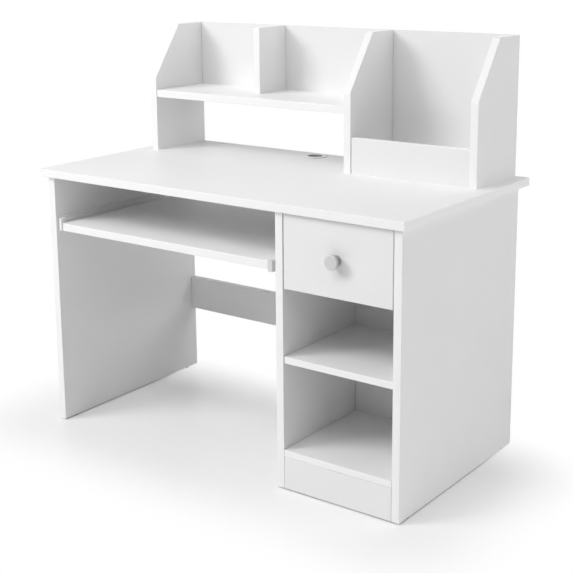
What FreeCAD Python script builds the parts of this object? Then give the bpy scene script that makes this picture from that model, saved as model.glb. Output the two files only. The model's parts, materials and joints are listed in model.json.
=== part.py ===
"""Student desk with a hutch, a drawer and a sliding keyboard tray.

Millimetres. X runs to the right, Y to the back and Z up. The origin is on the
floor under the middle of the desktop. Every piece is written as its own STEP file.
"""
import FreeCAD, Part
import os
from collections import namedtuple

Vector = FreeCAD.Vector

# Overall desk
desk_width = 1200.0
desk_depth = 650.0
desk_height = 750.0
board = 22.0
thin_board = 18.0
left_overhang = 25.0
right_overhang = 10.0
front_overhang = 10.0
back_overhang = 45.0
edge_radius = 1.2
joint_gap = 0.8

# Floor glides
glide_height = 3.0
glide_radius = 9.0
glide_nail_radius = 1.25
glide_nail_length = 14.0
glide_inset = 45.0

# Pedestal under the right end
pedestal_width = 320.0
pedestal_depth = 330.0
plinth_height = 87.0
lower_cubby_height = 231.0
shelf_setback = 3.0
pedestal_back_thickness = 15.0

# Modesty board across the knee space
modesty_bottom = 202.0
modesty_height = 104.0
modesty_setback = 2.0

# Cable grommet
grommet_x = -65.0
grommet_from_back = 52.0
grommet_bore_radius = 24.0
grommet_wall = 2.0
grommet_flange_radius = 35.0
grommet_flange_thickness = 3.0
grommet_tail = 4.0
grommet_clearance = 0.3

# Hutch
hutch_inset = 42.0
hutch_depth = 223.0
hutch_height = 378.0
hutch_slant_start = 223.0
hutch_top_depth = 112.0
hutch_corner_radius = 10.0
hutch_clear_height = 163.0
hutch_shelf_setback = 2.0
left_bay_width = 309.0
middle_bay_width = 355.0
divider_depth = 130.0
lip_height = 99.0
lip_setback = 3.0
hutch_back_thickness = 5.0
rebate_width = 8.0

# Drawer
drawer_front_height = 191.0
drawer_gap = 3.0
drawer_front_setback = 1.0
drawer_box_lift = 16.0
drawer_box_height = 140.0
drawer_back_clearance = 11.0
drawer_side_thickness = 12.0
drawer_bottom_thickness = 4.0
drawer_bottom_lift = 8.0
drawer_groove_depth = 5.0
groove_clearance = 0.2

# Drawer knob
knob_radius = 19.0
knob_neck_radius = 12.0
knob_base_radius = 13.5
knob_base_length = 5.0
knob_length = 27.0
knob_disc_thickness = 9.0
knob_edge_radius = 2.5
knob_screw_radius = 2.0
knob_screw_grip = 14.0
knob_screw_head_radius = 4.0
knob_screw_head_height = 2.5

# Keyboard tray
tray_clear_height = 130.0
tray_depth = 463.0
tray_setback = 2.0
tray_side_gap = 25.0
end_cap_depth = 18.0
end_cap_drop = 6.0
end_cap_rise = 1.0
end_cap_peg_radius = 3.0
end_cap_peg_length = 12.0
hook_cap_start = 9.5
hook_cap_width = 8.5
hook_cap_depth = 17.0
hook_cap_wall = 3.0
hook_cap_margin = 1.0
hook_cap_radius = 2.5
hook_cap_clearance = 0.1

# Roller runners, measured outwards from the panel face that carries them
steel = 1.5
runner_width = 12.5
channel_reach = 10.5
rail_web_start = 11.0
rail_flange_start = 3.0
roller_radius = 9.0
roller_start = 3.0
roller_end = 9.5
roller_gap = 0.3
rail_top_gap = 1.0
roller_margin = 16.0
axle_radius = 2.5
axle_head_radius = 4.2
axle_head_height = 0.9
axle_head_gap = 0.3
axle_clearance = 0.05
tray_channel_setback = 20.0
tray_channel_tail = 2.0
tray_rail_rise = 32.0
tray_rail_tail = 12.0
tray_foot_reach = 46.0
drawer_channel_setback = 2.0
drawer_channel_tail = 2.0
drawer_rail_rise = 21.0
drawer_rail_setback = 1.0
drawer_foot_reach = 21.5

# Dowels
dowel_radius = 4.0
dowel_in_face = 10.0
dowel_in_edge = 20.0
dowel_end_gap = 0.8
dowel_clearance = 0.1
dowel_margin = 60.0
lip_dowel_height = 40.0
small_dowel_radius = 3.0
small_dowel_in_face = 9.0

# Cam fittings that pull the desktop down on its panels
cam_radius = 7.5
cam_depth = 12.5
cam_drop = 34.0
cam_bolt_radius = 3.0
cam_bolt_in_top = 11.0
cam_clearance = 0.2
cam_setbacks = (115.0, 220.0)

# Screws and pins
screw_radius = 1.75
screw_head_radius = 3.6
screw_head_height = 2.2
screw_length = 13.0
screw_clearance = 0.1
channel_screw_margin = 45.0
foot_screw_margin = 40.0
foot_screw_inset = 4.5
hutch_screw_radius = 2.5
hutch_screw_head_radius = 5.0
hutch_screw_head_height = 3.0
hutch_screw_length = 48.0
pin_radius = 0.7
pin_length = 18.0
pin_margin = 30.0

# Extra length that lets a cutting tool pass right through, a matching tolerance and a turn
overrun = 2.0
match = 0.001
full_turn = 360.0

# Where repeated pieces stand along what carries them
modesty_dowel_shares = (0.25, 0.75)
back_dowel_shares = (0.2, 0.8)
drawer_dowel_shares = (0.25, 0.75)
hutch_dowel_shares = (0.2, 0.8)
hutch_screw_shares = (0.38, 0.62)
channel_screw_shares = (0.0, 0.5, 1.0)
foot_screw_shares = (0.0, 0.5, 1.0)
pin_shares = (0.0, 0.5, 1.0)

# Places that follow from the sizes above
top_front = -desk_depth / 2
top_back = desk_depth / 2
under_top = desk_height - board
panel_front = top_front + front_overhang
panel_back = top_back - back_overhang
left_outer = -desk_width / 2 + left_overhang
left_inner = left_outer + board
right_outer = desk_width / 2 - right_overhang
right_inner = right_outer - board
centre_right = right_inner - pedestal_width
centre_left = centre_right - board
pedestal_back = panel_front + pedestal_depth
floor_bottom = glide_height + plinth_height
floor_top = floor_bottom + thin_board
shelf_bottom = floor_top + lower_cubby_height
shelf_top = shelf_bottom + thin_board
modesty_back = panel_back - modesty_setback
modesty_front = modesty_back - thin_board
grommet_y = top_back - grommet_from_back
grommet_outer_radius = grommet_bore_radius + grommet_wall

hutch_left = -desk_width / 2 + hutch_inset
hutch_right = desk_width / 2 - hutch_inset
hutch_front = top_back - hutch_depth
hutch_top = desk_height + hutch_height
hutch_shelf_bottom = desk_height + hutch_clear_height
hutch_shelf_top = hutch_shelf_bottom + board
hutch_back_front = top_back - hutch_back_thickness
divider_left = hutch_left + board + left_bay_width
divider_right = divider_left + board
partition_left = divider_right + middle_bay_width
partition_right = partition_left + board
lip_front = hutch_front + lip_setback
lip_back = lip_front + thin_board
divider_front = hutch_back_front - divider_depth

front_face = panel_front + drawer_front_setback
front_back = front_face + thin_board
front_left = centre_right + drawer_gap
front_right = right_inner - drawer_gap
front_top = under_top - drawer_gap
front_bottom = front_top - drawer_front_height
box_bottom = front_bottom + drawer_box_lift
box_top = box_bottom + drawer_box_height
box_left = centre_right + runner_width
box_right = right_inner - runner_width
box_back = pedestal_back - drawer_back_clearance
box_inner_left = box_left + drawer_side_thickness
box_inner_right = box_right - drawer_side_thickness
drawer_bottom_z = box_bottom + drawer_bottom_lift
knob_x = (front_left + front_right) / 2
knob_z = (front_bottom + front_top) / 2

tray_top = under_top - tray_clear_height
tray_bottom = tray_top - board
tray_front = panel_front + tray_setback
tray_back = tray_front + tray_depth
tray_left = left_inner + tray_side_gap
tray_right = centre_left - tray_side_gap

# One runner: the face that carries it, the way it points, and its levels and lengths
Runner = namedtuple("Runner", "face side channel_front channel_back web_front rail_front rail_back "
                              "foot_top rise foot_reach")


def tray_runner(face, side, web_front, rail_front):
    channel_front = panel_front + tray_channel_setback
    return Runner(face, side, channel_front, tray_back - tray_channel_tail,
                  web_front, rail_front, tray_back - tray_rail_tail,
                  tray_bottom, tray_rail_rise, tray_foot_reach)


def drawer_runner(face, side):
    channel_front = front_back + drawer_channel_setback
    rail_front = front_back + drawer_rail_setback
    return Runner(face, side, channel_front, box_back + drawer_channel_tail,
                  rail_front, rail_front, box_back,
                  box_bottom, drawer_rail_rise, drawer_foot_reach)


hook_cap_back = tray_front + hook_cap_depth
end_cap_back = tray_front + end_cap_depth
tray_runners = {"left": tray_runner(left_inner, 1, tray_front + hook_cap_wall, hook_cap_back),
                "right": tray_runner(centre_left, -1, end_cap_back, end_cap_back)}
drawer_runners = {"left": drawer_runner(centre_right, 1),
                  "right": drawer_runner(right_inner, -1)}
all_runners = list(tray_runners.values()) + list(drawer_runners.values())


# Basic shapes

def block(x0, x1, y0, y1, z0, z1):
    low_x = min(x0, x1)
    return Part.makeBox(abs(x1 - x0), y1 - y0, z1 - z0, Vector(low_x, y0, z0))


def rod(radius, start, end):
    way = Vector(*end) - Vector(*start)
    return Part.makeCylinder(radius, way.Length, Vector(*start), way)


def eased(shape, picks):
    """Round the edges whose two ends both satisfy the test."""
    edges = [edge for edge in shape.Edges if all(picks(v.Point) for v in edge.Vertexes)]
    return shape.makeFillet(edge_radius, edges)


def eased_front(shape, front):
    return eased(shape, lambda p: abs(p.y - front) < match)


def bored(shape, tools):
    return shape.cut(tools) if tools else shape


def group(shapes):
    return Part.Compound(shapes)


def lerp(low, high, share):
    return low + (high - low) * share


# Dowels: a place is the middle of the joint and the way into the board's face

Dowel = namedtuple("Dowel", "x y z way radius in_face")


def dowel(place, clearance=0.0, gap=0.0):
    middle = Vector(place.x, place.y, place.z)
    start = middle - place.way * (dowel_in_edge + gap)
    end = middle + place.way * (place.in_face + gap)
    return rod(place.radius + clearance, start, end)


def dowel_bore(place):
    return dowel(place, dowel_clearance, dowel_end_gap)


def big_dowel(x, y, z, way):
    return Dowel(x, y, z, Vector(*way), dowel_radius, dowel_in_face)


def end_dowels(left, right, ys, zs):
    """Dowels in both ends of a board that runs between two upright faces."""
    places = []
    for y in ys:
        for z in zs:
            places.append(big_dowel(left, y, z, (-1, 0, 0)))
            places.append(big_dowel(right, y, z, (1, 0, 0)))
    return places


def panel_middles():
    return [(left_outer + left_inner) / 2, (centre_left + centre_right) / 2,
            (right_inner + right_outer) / 2]


def hutch_middles():
    return [hutch_left + board / 2, (partition_left + partition_right) / 2, hutch_right - board / 2]


def desk_dowel_places():
    places = []
    for x in panel_middles():
        for y in (panel_front + dowel_margin, panel_back - dowel_margin):
            places.append(big_dowel(x, y, under_top, (0, 0, 1)))
    modesty_zs = [modesty_bottom + modesty_height * share for share in modesty_dowel_shares]
    modesty_y = (modesty_front + modesty_back) / 2
    places += end_dowels(left_inner, centre_left, [modesty_y], modesty_zs)
    shelf_ys = [panel_front + dowel_margin, pedestal_back - dowel_margin]
    shelf_zs = [shelf_bottom + thin_board / 2, floor_bottom + thin_board / 2]
    places += end_dowels(centre_right, right_inner, shelf_ys, shelf_zs)
    plinth_y = panel_front + thin_board / 2
    places += end_dowels(centre_right, right_inner, [plinth_y], [glide_height + plinth_height / 2])
    back_y = pedestal_back + pedestal_back_thickness / 2
    back_zs = [lerp(glide_height, under_top, share) for share in back_dowel_shares]
    places += end_dowels(centre_right, right_inner, [back_y], back_zs)
    return places


def hutch_dowel_places():
    places = []
    for x in hutch_middles():
        for share in hutch_dowel_shares:
            places.append(big_dowel(x, lerp(hutch_front, top_back, share), desk_height, (0, 0, -1)))
    shelf_ys = [lerp(hutch_front, top_back, share) for share in hutch_dowel_shares]
    shelf_z = (hutch_shelf_bottom + hutch_shelf_top) / 2
    places += end_dowels(hutch_left + board, partition_left, shelf_ys, [shelf_z])
    lip_y = (lip_front + lip_back) / 2
    places += end_dowels(partition_right, hutch_right - board, [lip_y], [desk_height + lip_dowel_height])
    for share in hutch_dowel_shares:
        y = lerp(divider_front, hutch_back_front, share)
        x = (divider_left + divider_right) / 2
        places.append(big_dowel(x, y, hutch_shelf_top, (0, 0, -1)))
    return places


def drawer_dowel_places():
    places = []
    for x in (box_left + drawer_side_thickness / 2, box_right - drawer_side_thickness / 2):
        for share in drawer_dowel_shares:
            z = lerp(box_bottom, box_top, share)
            way = Vector(0, -1, 0)
            places.append(Dowel(x, front_back, z, way, small_dowel_radius, small_dowel_in_face))
    return places


desk_dowel_list = desk_dowel_places()
hutch_dowel_list = hutch_dowel_places()
drawer_dowel_list = drawer_dowel_places()


# Cam fittings: each panel has a barrel in its face and a bolt up into the desktop

def cam_places():
    """The face that holds each barrel, and the way into the panel."""
    faces = [(left_inner, -1), (centre_right, -1), (right_inner, 1)]
    return [(face, way, middle, panel_back - setback)
            for (face, way), middle in zip(faces, panel_middles()) for setback in cam_setbacks]


def cam_bolt(place, clearance=0.0):
    face, way, middle, y = place
    low = (middle, y, under_top - cam_drop - clearance)
    high = (middle, y, under_top + cam_bolt_in_top + clearance)
    return rod(cam_bolt_radius + clearance, low, high)


def cam_barrel(place, clearance=0.0):
    face, way, middle, y = place
    z = under_top - cam_drop
    return rod(cam_radius + clearance, (face, y, z), (face + way * (cam_depth + clearance), y, z))


def cam_lock(place):
    return cam_barrel(place).cut(cam_bolt(place, cam_clearance))


def cam_tools():
    tools = [cam_barrel(place, cam_clearance) for place in cam_places()]
    return tools + [cam_bolt(place, cam_clearance) for place in cam_places()]


# Screws and pins

def screw(head, way, radius, head_radius, head_height, length, clearance=0.0):
    """A screw whose head stands on the given point, against the way that it is driven."""
    start = Vector(*head)
    along = Vector(*way)
    shank = rod(radius + clearance, start, start + along * (length + clearance))
    if clearance:
        return shank
    return rod(head_radius, start - along * head_height, start).fuse(shank).removeSplitter()


def hutch_screw_places():
    z = under_top + hutch_screw_head_height
    return [(x, lerp(hutch_front, top_back, share), z)
            for x in hutch_middles() for share in hutch_screw_shares]


def hutch_screw(place, clearance=0.0):
    return screw(place, (0, 0, 1), hutch_screw_radius, hutch_screw_head_radius,
                 hutch_screw_head_height, hutch_screw_length, clearance)


def hutch_screw_tools():
    tools = []
    for x, y, z in hutch_screw_places():
        tools.append(hutch_screw((x, y, z), screw_clearance))
        tools.append(rod(hutch_screw_head_radius + screw_clearance, (x, y, under_top - overrun), (x, y, z)))
    return tools


def pin_places():
    """Pins through the thin backs into the shoulders of their rebates."""
    places = []
    half = rebate_width / 2
    tall_left = (hutch_shelf_top + pin_margin, hutch_top - pin_margin)
    tall_right = (desk_height + pin_margin, hutch_top - pin_margin)
    uprights = [(hutch_left + board - half, tall_left), (partition_left + half, tall_left),
                (partition_right - half, tall_right), (hutch_right - board + half, tall_right)]
    for x, (low, high) in uprights:
        places += [(x, lerp(low, high, share)) for share in pin_shares]
    for share in pin_shares:
        x = lerp(hutch_left + board + pin_margin, partition_left - pin_margin, share)
        places.append((x, hutch_shelf_top - half))
    return places


def pin(place, clearance=0.0):
    x, z = place
    return rod(pin_radius + clearance, (x, top_back, z), (x, top_back - pin_length - clearance, z))


def pin_tools():
    return [pin(place, screw_clearance) for place in pin_places()]


# Runners

def rail_flange_under(run):
    return run.foot_top + run.rise


def channel_floor(run):
    return rail_flange_under(run) - roller_radius * 2 - roller_gap * 2


def channel_roof(run):
    return rail_flange_under(run) + steel + rail_top_gap


def across(run, distance):
    return run.face + run.side * distance


def runner_block(run, d0, d1, y0, y1, z0, z1):
    return block(across(run, d0), across(run, d1), y0, y1, z0, z1)


def roller_height(run):
    return channel_floor(run) + roller_gap + roller_radius


def front_roller_y(run):
    return run.channel_front + roller_margin


def rear_roller_y(run):
    return run.rail_back - roller_margin


def channel_screw_places(run):
    z = roller_height(run)
    low = front_roller_y(run) + channel_screw_margin
    high = run.channel_back - channel_screw_margin
    return [(lerp(low, high, share), z) for share in channel_screw_shares]


def channel_screw(run, place, clearance=0.0):
    """A countersunk screw that lies flush with the inner face of the channel's web."""
    y, z = place
    way = Vector(run.side, 0, 0)
    face = Vector(across(run, steel), y, z)
    head = Part.makeCone(screw_head_radius + clearance, screw_radius + clearance, steel, face, way * -1)
    tip = Vector(across(run, -screw_length), y, z) - way * clearance
    return head.fuse(rod(screw_radius + clearance, Vector(run.face, y, z), tip)).removeSplitter()


def channel_screw_tools(runs):
    return [channel_screw(run, place, screw_clearance)
            for run in runs for place in channel_screw_places(run)]


def channel_axle(run):
    """The rivet that carries the front roller, headed on its free end."""
    y, z = front_roller_y(run), roller_height(run)
    shank_end = roller_end + axle_head_gap
    shank = rod(axle_radius, (across(run, 0), y, z), (across(run, shank_end), y, z))
    head_end = shank_end + axle_head_height
    head = rod(axle_head_radius, (across(run, shank_end), y, z), (across(run, head_end), y, z))
    return shank.fuse(head).removeSplitter()


def rail_axle(run):
    """The rivet that carries the rear roller, headed next to the channel's web."""
    y, z = rear_roller_y(run), roller_height(run)
    shank_end = roller_start - axle_head_gap
    shank = rod(axle_radius, (across(run, runner_width), y, z), (across(run, shank_end), y, z))
    head_end = shank_end - axle_head_height
    head = rod(axle_head_radius, (across(run, shank_end), y, z), (across(run, head_end), y, z))
    return shank.fuse(head).removeSplitter()


def axle_bore(run, y, d0, d1):
    z = roller_height(run)
    return rod(axle_radius + axle_clearance, (across(run, d0), y, z), (across(run, d1), y, z))


def channel(run):
    low = channel_floor(run) - steel
    high = channel_roof(run) + steel
    outside = runner_block(run, 0, channel_reach, run.channel_front, run.channel_back, low, high)
    inside = runner_block(run, steel, channel_reach + overrun, run.channel_front - overrun,
                          run.channel_back + overrun, channel_floor(run), channel_roof(run))
    tools = channel_screw_tools([run])
    tools.append(axle_bore(run, front_roller_y(run), -overrun, steel + overrun))
    return outside.cut(inside).cut(tools)


def foot_screw_places(run):
    d = run.foot_reach - foot_screw_inset
    low = run.rail_front + foot_screw_margin
    high = run.rail_back - foot_screw_margin
    return [(across(run, d), lerp(low, high, share), run.foot_top - steel) for share in foot_screw_shares]


def foot_screw(place, clearance=0.0):
    return screw(place, (0, 0, 1), screw_radius, screw_head_radius, screw_head_height,
                 screw_length, clearance)


def foot_screw_tools(runs):
    return [foot_screw(place, screw_clearance) for run in runs for place in foot_screw_places(run)]


def rail_web(run, clearance=0.0):
    """The upright of a rail. Its front can reach past the rail's flange and foot as a tongue."""
    return runner_block(run, rail_web_start - clearance, runner_width + clearance,
                        run.web_front - clearance, run.rail_back,
                        run.foot_top - steel - clearance, rail_flange_under(run) + steel + clearance)


def rail(run):
    """A folded strip: a foot under the board, a web, and a flange that rides on the rollers."""
    ends = (run.rail_front, run.rail_back)
    under = rail_flange_under(run)
    foot = runner_block(run, rail_web_start, run.foot_reach, *ends, run.foot_top - steel, run.foot_top)
    flange = runner_block(run, rail_flange_start, runner_width, *ends, under, under + steel)
    tools = foot_screw_tools([run])
    tools.append(axle_bore(run, rear_roller_y(run), rail_web_start - overrun, runner_width + overrun))
    return foot.fuse([rail_web(run), flange]).removeSplitter().cut(tools)


def roller(run, y):
    """A nylon roller with a rounded tread."""
    z = roller_height(run)
    wheel = rod(roller_radius, (across(run, roller_start), y, z), (across(run, roller_end), y, z))
    wheel = wheel.makeFillet(edge_radius, [e for e in wheel.Edges if e.Curve.TypeId == "Part::GeomCircle"])
    return wheel.cut(axle_bore(run, y, 0, channel_reach))


# Desk boards

carcass_bores = [dowel_bore(place) for place in desk_dowel_list]
hutch_bores = [dowel_bore(place) for place in hutch_dowel_list]
drawer_bores = [dowel_bore(place) for place in drawer_dowel_list]


def desktop():
    top = block(-desk_width / 2, desk_width / 2, top_front, top_back, under_top, desk_height)
    top = top.makeFillet(edge_radius, top.Edges)
    hole_radius = grommet_outer_radius + grommet_clearance
    hole = rod(hole_radius, (grommet_x, grommet_y, under_top - overrun),
               (grommet_x, grommet_y, desk_height + overrun))
    tools = carcass_bores + hutch_bores + cam_tools() + hutch_screw_tools()
    return bored(top, tools + [hole])


def upright(x0, x1, tools):
    panel = block(x0, x1, panel_front, panel_back, glide_height, under_top)
    panel = eased(panel, lambda p: abs(p.y - panel_front) < match or abs(p.y - panel_back) < match)
    return bored(panel, carcass_bores + cam_tools() + glide_tools() + tools)


def left_side_panel():
    return upright(left_outer, left_inner, channel_screw_tools([tray_runners["left"]]))


def centre_panel():
    runs = [tray_runners["right"], drawer_runners["left"]]
    return upright(centre_left, centre_right, channel_screw_tools(runs))


def right_side_panel():
    return upright(right_inner, right_outer, channel_screw_tools([drawer_runners["right"]]))


def between_pedestal(front, back, bottom, top):
    shape = block(centre_right + joint_gap, right_inner - joint_gap, front, back, bottom, top)
    return bored(eased_front(shape, front), carcass_bores)


def pedestal_shelf():
    return between_pedestal(panel_front + shelf_setback, pedestal_back, shelf_bottom, shelf_top)


def pedestal_floor():
    return between_pedestal(panel_front, pedestal_back, floor_bottom, floor_top)


def plinth_board():
    return between_pedestal(panel_front, panel_front + thin_board, glide_height, floor_bottom - joint_gap)


def pedestal_back_panel():
    return between_pedestal(pedestal_back, pedestal_back + pedestal_back_thickness, glide_height, under_top)


def modesty_board():
    top = modesty_bottom + modesty_height
    shape = block(left_inner + joint_gap, centre_left - joint_gap, modesty_front, modesty_back,
                  modesty_bottom, top)
    return bored(eased_front(shape, modesty_front), carcass_bores)


def cable_grommet():
    def ring(radius, low, high):
        return rod(radius, (grommet_x, grommet_y, low), (grommet_x, grommet_y, high))
    bottom = under_top - grommet_tail
    top = desk_height + grommet_flange_thickness
    flange = ring(grommet_flange_radius, desk_height, top)
    flange = flange.makeFillet(edge_radius, [e for e in flange.Edges
                                             if all(abs(v.Z - top) < match for v in e.Vertexes)])
    liner = flange.fuse(ring(grommet_outer_radius, bottom, desk_height)).removeSplitter()
    return liner.cut(ring(grommet_bore_radius, bottom - overrun, top + overrun))


def glide_places():
    return [(x, y) for x in panel_middles() for y in (panel_front + glide_inset, panel_back - glide_inset)]


def glide_nail(x, y, clearance=0.0):
    nail_radius = glide_nail_radius + clearance
    return rod(nail_radius, (x, y, glide_height), (x, y, glide_height + glide_nail_length + clearance))


def glide_tools():
    return [glide_nail(x, y, screw_clearance) for x, y in glide_places()]


def floor_glides():
    glides = []
    for x, y in glide_places():
        disc = rod(glide_radius, (x, y, 0), (x, y, glide_height))
        disc = disc.makeFillet(edge_radius, [e for e in disc.Edges if all(v.Z < match for v in e.Vertexes)])
        glides.append(disc.fuse(glide_nail(x, y)).removeSplitter())
    return group(glides)


# Hutch boards

def rebate(x0, x1, low, high, front=hutch_back_front - joint_gap):
    return block(x0, x1, front, top_back + overrun, low, high)


def hutch_side(x0, rebates):
    """An upright with a slanted front corner, cut for the thin backs."""
    slant_z = desk_height + hutch_slant_start
    slant_y = top_back - hutch_top_depth
    outline = [(hutch_front, desk_height), (hutch_front, slant_z), (slant_y, hutch_top),
               (top_back, hutch_top), (top_back, desk_height), (hutch_front, desk_height)]
    wire = Part.makePolygon([Vector(x0, y, z) for y, z in outline])
    side = Part.Face(wire).extrude(Vector(board, 0, 0))
    corners = [e for e in side.Edges
               if all(v.Y < top_back - match and v.Z > desk_height + match for v in e.Vertexes)
               and abs(e.Vertexes[0].X - e.Vertexes[1].X) > match]
    side = side.makeFillet(hutch_corner_radius, corners)
    rims = [e for e in side.Edges if abs(e.Vertexes[0].X - e.Vertexes[1].X) < match
            and not all(v.Z < desk_height + match for v in e.Vertexes)
            and not all(v.Y > top_back - match for v in e.Vertexes)]
    side = side.makeFillet(edge_radius, rims)
    return bored(side, rebates + hutch_bores + hutch_screw_tools() + pin_tools())


def hutch_left_panel():
    inner = hutch_left + board
    low = hutch_shelf_top - rebate_width
    return hutch_side(hutch_left, [rebate(inner - rebate_width, inner + overrun, low, hutch_top + overrun)])


def hutch_partition():
    low = hutch_shelf_top - rebate_width
    high = hutch_top + overrun
    left = rebate(partition_left - overrun, partition_left + rebate_width, low, high)
    right = rebate(partition_right - rebate_width, partition_right + overrun, desk_height - overrun, high)
    return hutch_side(partition_left, [left, right])


def hutch_right_panel():
    inner = hutch_right - board
    high = hutch_top + overrun
    cut = rebate(inner - overrun, inner + rebate_width, desk_height - overrun, high)
    return hutch_side(inner, [cut])


def hutch_shelf():
    front = hutch_front + hutch_shelf_setback
    inner = hutch_left + board
    shape = block(inner + joint_gap, partition_left - joint_gap, front, top_back,
                  hutch_shelf_bottom, hutch_shelf_top)
    step = rebate(inner, partition_left, hutch_shelf_top - rebate_width,
                  hutch_shelf_top + overrun, hutch_back_front)
    return bored(eased_front(shape, front), [step] + hutch_bores + pin_tools())


def hutch_divider():
    back = hutch_back_front - joint_gap
    shape = block(divider_left, divider_right, divider_front, back, hutch_shelf_top, hutch_top)
    shape = eased(shape, lambda p: abs(p.y - divider_front) < match or abs(p.z - hutch_top) < match)
    return bored(shape, hutch_bores)


def thin_back(x0, x1, low):
    return bored(block(x0, x1, hutch_back_front, top_back, low, hutch_top), pin_tools())


def hutch_back_left():
    left = hutch_left + board - rebate_width
    return thin_back(left, partition_left + rebate_width, hutch_shelf_top - rebate_width)


def hutch_back_right():
    return thin_back(partition_right - rebate_width, hutch_right - board + rebate_width, desk_height)


def hutch_lip():
    top = desk_height + lip_height
    shape = block(partition_right + joint_gap, hutch_right - board - joint_gap, lip_front, lip_back,
                  desk_height, top)
    shape = eased(shape, lambda p: abs(p.z - top) < match)
    return bored(shape, hutch_bores)


# Drawer

def drawer_bottom_panel(clearance=0.0):
    """The thin bottom that slides in grooves in the front, sides and back."""
    reach = drawer_groove_depth - groove_clearance + clearance
    return block(box_inner_left - reach, box_inner_right + reach, front_back - reach,
                 box_back - drawer_side_thickness + reach,
                 drawer_bottom_z - clearance, drawer_bottom_z + drawer_bottom_thickness + clearance)


def drawer_groove():
    return drawer_bottom_panel(groove_clearance)


def knob_screw_bore(radius, start, end):
    return rod(radius, (knob_x, start, knob_z), (knob_x, end, knob_z))


def drawer_front():
    front = block(front_left, front_right, front_face, front_back, front_bottom, front_top)
    hole = knob_screw_bore(knob_screw_radius + screw_clearance, front_face - overrun, front_back + overrun)
    return bored(eased_front(front, front_face), drawer_bores + [drawer_groove(), hole])


def back_screw_places(side):
    """Screws through a drawer side into the end of the drawer's back."""
    x, way = (box_left, 1) if side == "left" else (box_right, -1)
    y = box_back - drawer_side_thickness / 2
    start = x + way * screw_head_height
    return [(start, y, lerp(box_bottom, box_top, share), way) for share in drawer_dowel_shares]


def back_screw(place, clearance=0.0):
    x, y, z, way = place
    length = screw_length + drawer_side_thickness
    return screw((x, y, z), (way, 0, 0), screw_radius, screw_head_radius, screw_head_height,
                 length, clearance)


def back_screw_tools():
    tools = []
    for place in back_screw_places("left") + back_screw_places("right"):
        x, y, z, way = place
        tools.append(back_screw(place, screw_clearance))
        mouth = x - way * (screw_head_height + overrun)
        tools.append(rod(screw_head_radius + screw_clearance, (mouth, y, z), (x, y, z)))
    return tools


def drawer_side(x0, x1, run):
    side = block(x0, x1, front_back, box_back, box_bottom, box_top)
    side = eased(side, lambda p: abs(p.z - box_top) < match)
    return bored(side, drawer_bores + back_screw_tools() + foot_screw_tools([run]) + [drawer_groove()])


def drawer_back():
    shape = block(box_inner_left, box_inner_right, box_back - drawer_side_thickness, box_back,
                  box_bottom, box_top)
    shape = eased(shape, lambda p: abs(p.z - box_top) < match)
    return bored(shape, back_screw_tools() + [drawer_groove()])


def drawer_knob():
    """A turned knob: a round foot, a neck and a wider disc with soft edges."""
    disc_back = knob_length - knob_disc_thickness
    outline = [(0, 0), (knob_base_radius, 0), (knob_base_radius, knob_base_length),
               (knob_neck_radius, knob_base_length), (knob_neck_radius, disc_back),
               (knob_radius, disc_back), (knob_radius, knob_length), (0, knob_length), (0, 0)]
    points = [Vector(knob_x + r, front_face - out, knob_z) for r, out in outline]
    face = Part.Face(Part.makePolygon(points))
    knob = face.revolve(Vector(knob_x, front_face, knob_z), Vector(0, 1, 0), full_turn)
    rims = [e for e in knob.Edges if e.Curve.TypeId == "Part::GeomCircle"
            and abs(e.Curve.Radius - knob_radius) < match]
    knob = Part.Solid(knob).makeFillet(knob_edge_radius, rims)
    bore_end = front_face - knob_screw_grip - screw_clearance
    return knob.cut(knob_screw_bore(knob_screw_radius + screw_clearance, front_face + overrun, bore_end))


def knob_screw():
    return screw((knob_x, front_back, knob_z), (0, -1, 0), knob_screw_radius, knob_screw_head_radius,
                 knob_screw_head_height, thin_board + knob_screw_grip)


# Keyboard tray

def end_cap_peg(clearance=0.0):
    y = tray_front + end_cap_depth / 2
    z = (tray_bottom + tray_top) / 2
    return rod(end_cap_peg_radius + clearance, (tray_right, y, z),
               (tray_right - end_cap_peg_length - clearance, y, z))


def keyboard_tray():
    tray = block(tray_left, tray_right, tray_front, tray_back, tray_bottom, tray_top)
    tray = eased(tray, lambda p: abs(p.y - tray_front) < match or abs(p.z - tray_top) < match)
    return bored(tray, foot_screw_tools(tray_runners.values()) + [end_cap_peg(dowel_clearance)])


def tray_end_cap_left():
    """The moulded end on the left rail, pushed over the tongue of its web and clear of the tray."""
    run = tray_runners["left"]
    bottom = run.foot_top - steel - hook_cap_margin
    top = rail_flange_under(run) + steel + hook_cap_margin
    cap = runner_block(run, hook_cap_start, hook_cap_start + hook_cap_width,
                       tray_front, hook_cap_back, bottom, top)
    edges = [e for e in cap.Edges if not all(abs(v.Y - hook_cap_back) < match for v in e.Vertexes)]
    return cap.makeFillet(hook_cap_radius, edges).cut(rail_web(run, hook_cap_clearance))


def tray_end_cap_right():
    """The moulded end that closes the right rail beside the tray."""
    outer = across(tray_runners["right"], rail_web_start)
    cap = block(outer, tray_right, tray_front, end_cap_back,
                tray_bottom - end_cap_drop, tray_top + end_cap_rise)
    cap = eased(cap, lambda p: abs(p.y - tray_front) < match or abs(p.x - outer) < match)
    return cap.fuse(end_cap_peg()).removeSplitter()


# Every node by name

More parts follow.
